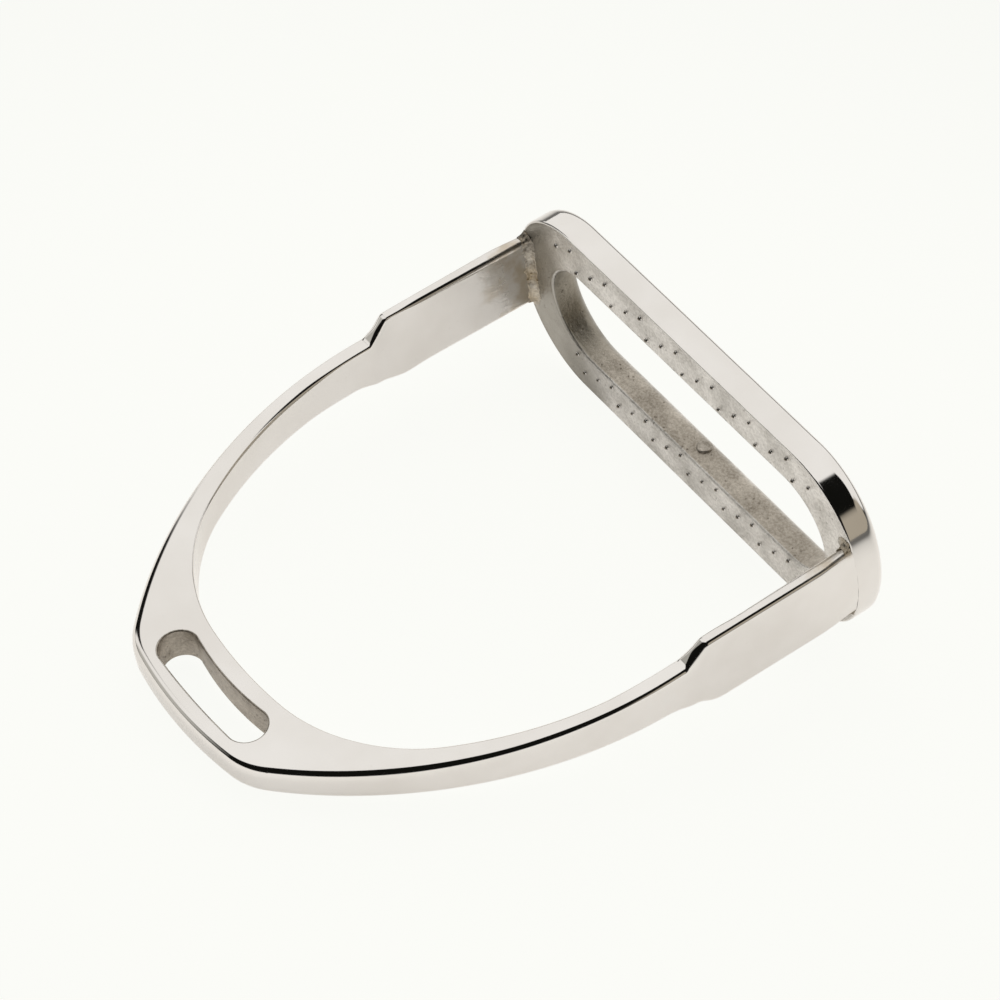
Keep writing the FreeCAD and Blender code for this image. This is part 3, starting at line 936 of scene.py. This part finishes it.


# where the torch reached: the arms' feet are hammered and tinted; one end of the tread is painted darker,
# painted shade for the dark things that end reflects
def heatAndPaintedDarkGroup():
    group, given, place = newGroup("torch_heat_and_painted_dark", ("Reach", "Stain"))
    split = group.nodes.new("ShaderNodeSeparateXYZ")
    group.links.new(place, split.inputs[0])
    ragged = noiseNode(group, place, heatAndPaintedDarkSet["ragged"], 3.0, 0.6)
    fray = mathNode(group, "SUBTRACT", ragged, 0.5)
    along = timesPlus(group, fray, heatAndPaintedDarkSet["alongFray"], split.outputs["Y"])
    near = times(group, rangeNode(group, along, *heatAndPaintedDarkSet["along"]), given["Reach"])
    inner = mathNode(group, "ABSOLUTE", split.outputs["X"])
    near = times(group, near, rangeNode(group, inner, *heatAndPaintedDarkSet["outerFace"], 1.0, 0.0))
    tint = times(group, mathNode(group, "POWER", near, 3.0), rangeNode(group, ragged, 0.40, 0.64))
    across = timesPlus(group, fray, heatAndPaintedDarkSet["acrossFray"], split.outputs["X"])
    across = timesPlus(group, split.outputs["Z"], heatAndPaintedDarkSet["slant"], across)
    # painted shade: darker colour over one end of the tread and its grip points, standing for a dark
    # reflection
    stain = rangeNode(group, across, *heatAndPaintedDarkSet["paintedDarkEnd"], 1.0, 0.0)
    stain = times(group, stain, given["Stain"])
    beaten = stretchNode(group, place, heatAndPaintedDarkSet["blows"])
    blows = noiseNode(group, beaten, 1.0, 2.0, 0.55, 0.6)
    return endGroup(group, Hammer=near, Tint=tint, Stain=stain, Height=times(group, blows, near))


# sets each of the group's inputs to the finish's value of that name
def placeGroup(material, group, finish):
    node = material.node_tree.nodes.new("ShaderNodeGroup")
    node.node_tree = group
    for socket in node.inputs:
        socket.default_value = finish[socket.name.lower()]
    return node.outputs


def mixColour(tree, share, first, second):
    node = tree.nodes.new("ShaderNodeMix")
    node.data_type = "RGBA"
    tree.links.new(share, node.inputs[0])
    for socket, value in ((node.inputs[6], first), (node.inputs[7], second)):
        feed(tree, socket, value if isinstance(value, bpy.types.NodeSocket) else (*value, 1))
    return node.outputs[2]


def mixValue(tree, share, first, second):
    node = tree.nodes.new("ShaderNodeMix")
    for socket, value in ((node.inputs[0], share), (node.inputs[2], first), (node.inputs[3], second)):
        feed(tree, socket, value)
    return node.outputs[0]


steelSet = {"bright": (0.81, 0.79, 0.768), "dull": (0.745, 0.72, 0.69), "smooth": 0.055, "hazy": 0.17,
            "castLight": (0.90, 0.875, 0.84), "castDark": (0.44, 0.42, 0.385),
            # colours for the slot walls, also used on the gate stub and the grip tips: painted shade, a
            # darker and browner copy of the cast face
            "wallLight": (0.62, 0.57, 0.50), "wallDark": (0.26, 0.23, 0.19),
            # colour of the painted shade at one end of the tread
            "paintedDarkEnd": (0.24, 0.22, 0.18),
            "straw": (0.46, 0.36, 0.22), "burnt": (0.045, 0.036, 0.028),
            "paintedDarkShare": 0.75, "strawShare": 0.55,
            "castSmooth": 0.34, "castRough": 0.62, "hammered": 0.30,
            "polishDepth": 0.050, "castDepth": 0.12, "hammerDepth": 0.12}


# how strong each effect is, unless a piece's own finish says otherwise
plainFinish = {"waves": 1.0, "lines": 1.0, "pits": 1.0, "grain": 1.0, "pinholes": 1.0, "blotches": 1.0,
               "reach": 0.0, "stain": 0.0, "dark": steelSet["castDark"], "light": steelSet["castLight"]}


# polished where the mark is 0, bare casting on the face at 0.5, the rougher slot wall at 1, painted
# darker and browner as painted shade inside the slot
def steelMaterial(name, groups, mark, **changes):
    finish = {**plainFinish, **changes}
    material, shader = newMaterial(name)
    tree = material.node_tree
    setInput(shader, "Metallic", 1.0)
    smoothPart = placeGroup(material, groups["polish"], finish)
    castPart = placeGroup(material, groups["cast"], finish)
    heatAndPaintedDark = placeGroup(material, groups["heatAndPaintedDark"], finish)
    marked = tree.nodes.new("ShaderNodeAttribute")
    marked.attribute_name = mark
    share = rangeNode(tree, marked.outputs["Fac"], 0.08, 0.42)
    wall = rangeNode(tree, marked.outputs["Fac"], 0.55, 0.95)
    polished = mixColour(tree, smoothPart["Shade"], steelSet["dull"], steelSet["bright"])
    face = mixColour(tree, castPart["Shade"], finish["dark"], finish["light"])
    # painted shade: the slot walls take the darker, browner cast colour
    slotPaintedShade = mixColour(tree, castPart["Shade"], steelSet["wallDark"], steelSet["wallLight"])
    colour = mixColour(tree, wall, face, slotPaintedShade)
    # painted shade at one end of the tread, mixed into the colour
    stain = times(tree, heatAndPaintedDark["Stain"], steelSet["paintedDarkShare"])
    colour = mixColour(tree, stain, colour, steelSet["paintedDarkEnd"])
    colour = mixColour(tree, share, polished, colour)
    tint = times(tree, heatAndPaintedDark["Tint"], steelSet["strawShare"])
    colour = mixColour(tree, tint, colour, steelSet["straw"])
    tree.links.new(colour, shader.inputs["Base Color"])
    hazeA = rangeNode(tree, smoothPart["Haze"], 0.25, 0.95, steelSet["smooth"], steelSet["hazy"])
    hazeA = mixValue(tree, heatAndPaintedDark["Hammer"], hazeA, steelSet["hammered"])
    hazeB = rangeNode(tree, castPart["Haze"], 0.2, 0.9,
                      steelSet["castSmooth"], steelSet["castRough"])
    tree.links.new(mixValue(tree, share, hazeA, hazeB), shader.inputs["Roughness"])
    high = times(tree, smoothPart["Height"], steelSet["polishDepth"])
    high = timesPlus(tree, heatAndPaintedDark["Height"], steelSet["hammerDepth"], high)
    rough = times(tree, castPart["Height"], steelSet["castDepth"])
    bump = tree.nodes.new("ShaderNodeBump")
    setInput(bump, "Distance", mm)
    setInput(bump, "Strength", 1.0)
    tree.links.new(mixValue(tree, share, high, rough), bump.inputs["Height"])
    tree.links.new(bump.outputs[0], shader.inputs["Normal"])
    return material


def cosine(degrees):
    return math.cos(math.radians(degrees))


def makeWorld():
    world = bpy.data.worlds.new("studio")
    bpy.context.scene.world = world
    world.use_nodes = True
    tree = world.node_tree
    nodes = tree.nodes
    nodes.clear()
    place = nodes.new("ShaderNodeTexCoord").outputs["Generated"]
    edge = cosine(lightSet["reach"])
    soft = math.radians(lightSet["soft"]) / 2
    dome = towards(tree, place, lightSet["azimuth"], 90 - lightSet["lean"])
    lit = rangeNode(tree, dome, edge - soft, edge + soft)
    split = nodes.new("ShaderNodeSeparateXYZ")
    tree.links.new(place, split.inputs[0])
    level = mathNode(tree, "SUBTRACT", 1.0, mathNode(tree, "POWER", split.outputs["Z"], 2.0))
    level = mathNode(tree, "SQRT", level)
    turned = mathNode(tree, "DIVIDE", towards(tree, place, lightSet["gapAzimuth"], 0), level)
    width = lightSet["gapWidth"]
    gap = rangeNode(tree, turned, cosine(width * 1.4), cosine(width * 0.7))
    low = rangeNode(tree, split.outputs["Z"], math.sin(math.radians(lightSet["gapTop"])),
                    math.sin(math.radians(lightSet["gapTop"] + 6)), 1.0, 0.0)
    lit = times(tree, lit, mathNode(tree, "SUBTRACT", 1.0, times(tree, gap, low)))
    colour = mixColour(tree, lit, lightSet["dark"], lightSet["roof"])
    for board in boardSet:
        near = towards(tree, place, board["azimuth"], board["elevation"])
        share = rangeNode(tree, near, cosine(board["reach"] + board["soft"]),
                          cosine(board["reach"] - board["soft"]))
        colour = mixColour(tree, share, colour, board["colour"])
    glow = nodes.new("ShaderNodeBackground")
    tree.links.new(colour, glow.inputs["Color"])
    setInput(glow, "Strength", lightSet["strength"])
    plain = nodes.new("ShaderNodeBackground")
    setInput(plain, "Color", (*lightSet["backdrop"], 1))
    path = nodes.new("ShaderNodeLightPath")
    mix = nodes.new("ShaderNodeMixShader")
    tree.links.new(path.outputs["Is Camera Ray"], mix.inputs[0])
    tree.links.new(glow.outputs[0], mix.inputs[1])
    tree.links.new(plain.outputs[0], mix.inputs[2])
    out = nodes.new("ShaderNodeOutputWorld")
    tree.links.new(mix.outputs[0], out.inputs[0])


def makeFloor():
    half = floorSet["size"] / 2
    mesh = bpy.data.meshes.new("floor")
    corners = [(-half, -half, 0), (half, -half, 0), (half, half, 0), (-half, half, 0)]
    mesh.from_pydata(corners, [], [(0, 1, 2, 3)])
    floor = putInScene("floor", mesh)
    material, shader = newMaterial("floor")
    tree = material.node_tree
    place = tree.nodes.new("ShaderNodeTexCoord").outputs["Object"]
    far = tree.nodes.new("ShaderNodeVectorMath")
    far.operation = "LENGTH"
    tree.links.new(place, far.inputs[0])
    # painted light: the floor's glow and colour fall from full near the iron to farShare far away
    paintedPoolFade = rangeNode(tree, far.outputs["Value"], floorSet["near"], floorSet["far"],
                     1.0, floorSet["farShare"])
    colour = mixColour(tree, paintedPoolFade, (0, 0, 0), floorSet["colour"])
    tree.links.new(colour, shader.inputs["Base Color"])
    setInput(shader, "Roughness", 0.7)
    setInput(shader, "Specular IOR Level", 0.0)
    tree.links.new(colour, shader.inputs["Emission Color"])
    setInput(shader, "Emission Strength", floorSet["glow"])
    sheet = tree.nodes.new("ShaderNodeEmission")
    setInput(sheet, "Color", (*floorSet["seen"], 1))
    path = tree.nodes.new("ShaderNodeLightPath")
    mix = tree.nodes.new("ShaderNodeMixShader")
    seen = times(tree, path.outputs["Is Camera Ray"], 1 - floorSet["shadeShare"])
    tree.links.new(seen, mix.inputs[0])
    tree.links.new(shader.outputs[0], mix.inputs[1])
    tree.links.new(sheet.outputs[0], mix.inputs[2])
    out = [node for node in tree.nodes if node.type == "OUTPUT_MATERIAL"][0]
    tree.links.new(mix.outputs[0], out.inputs[0])
    mesh.materials.append(material)


def setIn(piece, material, nodeName):
    if material is not None:
        piece.data.materials.clear()
        piece.data.materials.append(material)
    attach(piece, "root")
    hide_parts(nodeName)
    print(piece.name, len(piece.data.polygons), "faces")


bpy.context.scene.view_settings.view_transform = "Standard"
makeCamera()
makeWorld()
makeFloor()
print("camera, light tent and floor set up")
groups = {"polish": polishGroup(), "cast": castGroup(), "heatAndPaintedDark": heatAndPaintedDarkGroup()}
bowSteel = steelMaterial("polished_bow", groups, "cast", grain=0.8, reach=1.0)
# the tread and its grip points take the painted shade at one end
treadSteel = steelMaterial("cast_tread", groups, "cast", waves=0.8, pits=0.6, stain=1.0)
weldSteel = steelMaterial("weld_bead", groups, "cast", waves=2.5, lines=2.0, grain=0.8, pinholes=2.0,
                          blotches=1.3, reach=1.0, dark=steelSet["burnt"], light=(0.66, 0.61, 0.53))
# painted shade and highlight: each grip point is painted near black round its sides and lighter at its
# tip, above a polished foot, for its shaded side and lit tip
gripSteelPaintedShade = steelMaterial("grip_points", groups, "tip", pits=0.0, grain=0.6, pinholes=0.5,
                          stain=1.0, dark=(0.05, 0.045, 0.035), light=(0.24, 0.22, 0.19))
print("steel finishes mixed")
setIn(makeBow(), bowSteel, "bow")
setIn(makeTread(), treadSteel, "tread")
setIn(makeWeld("left_bead", 1), weldSteel, "left_weld")
setIn(makeWeld("right_bead", -1), weldSteel, "right_weld")
setIn(makeGrips(gripSteelPaintedShade), None, "grip_points")
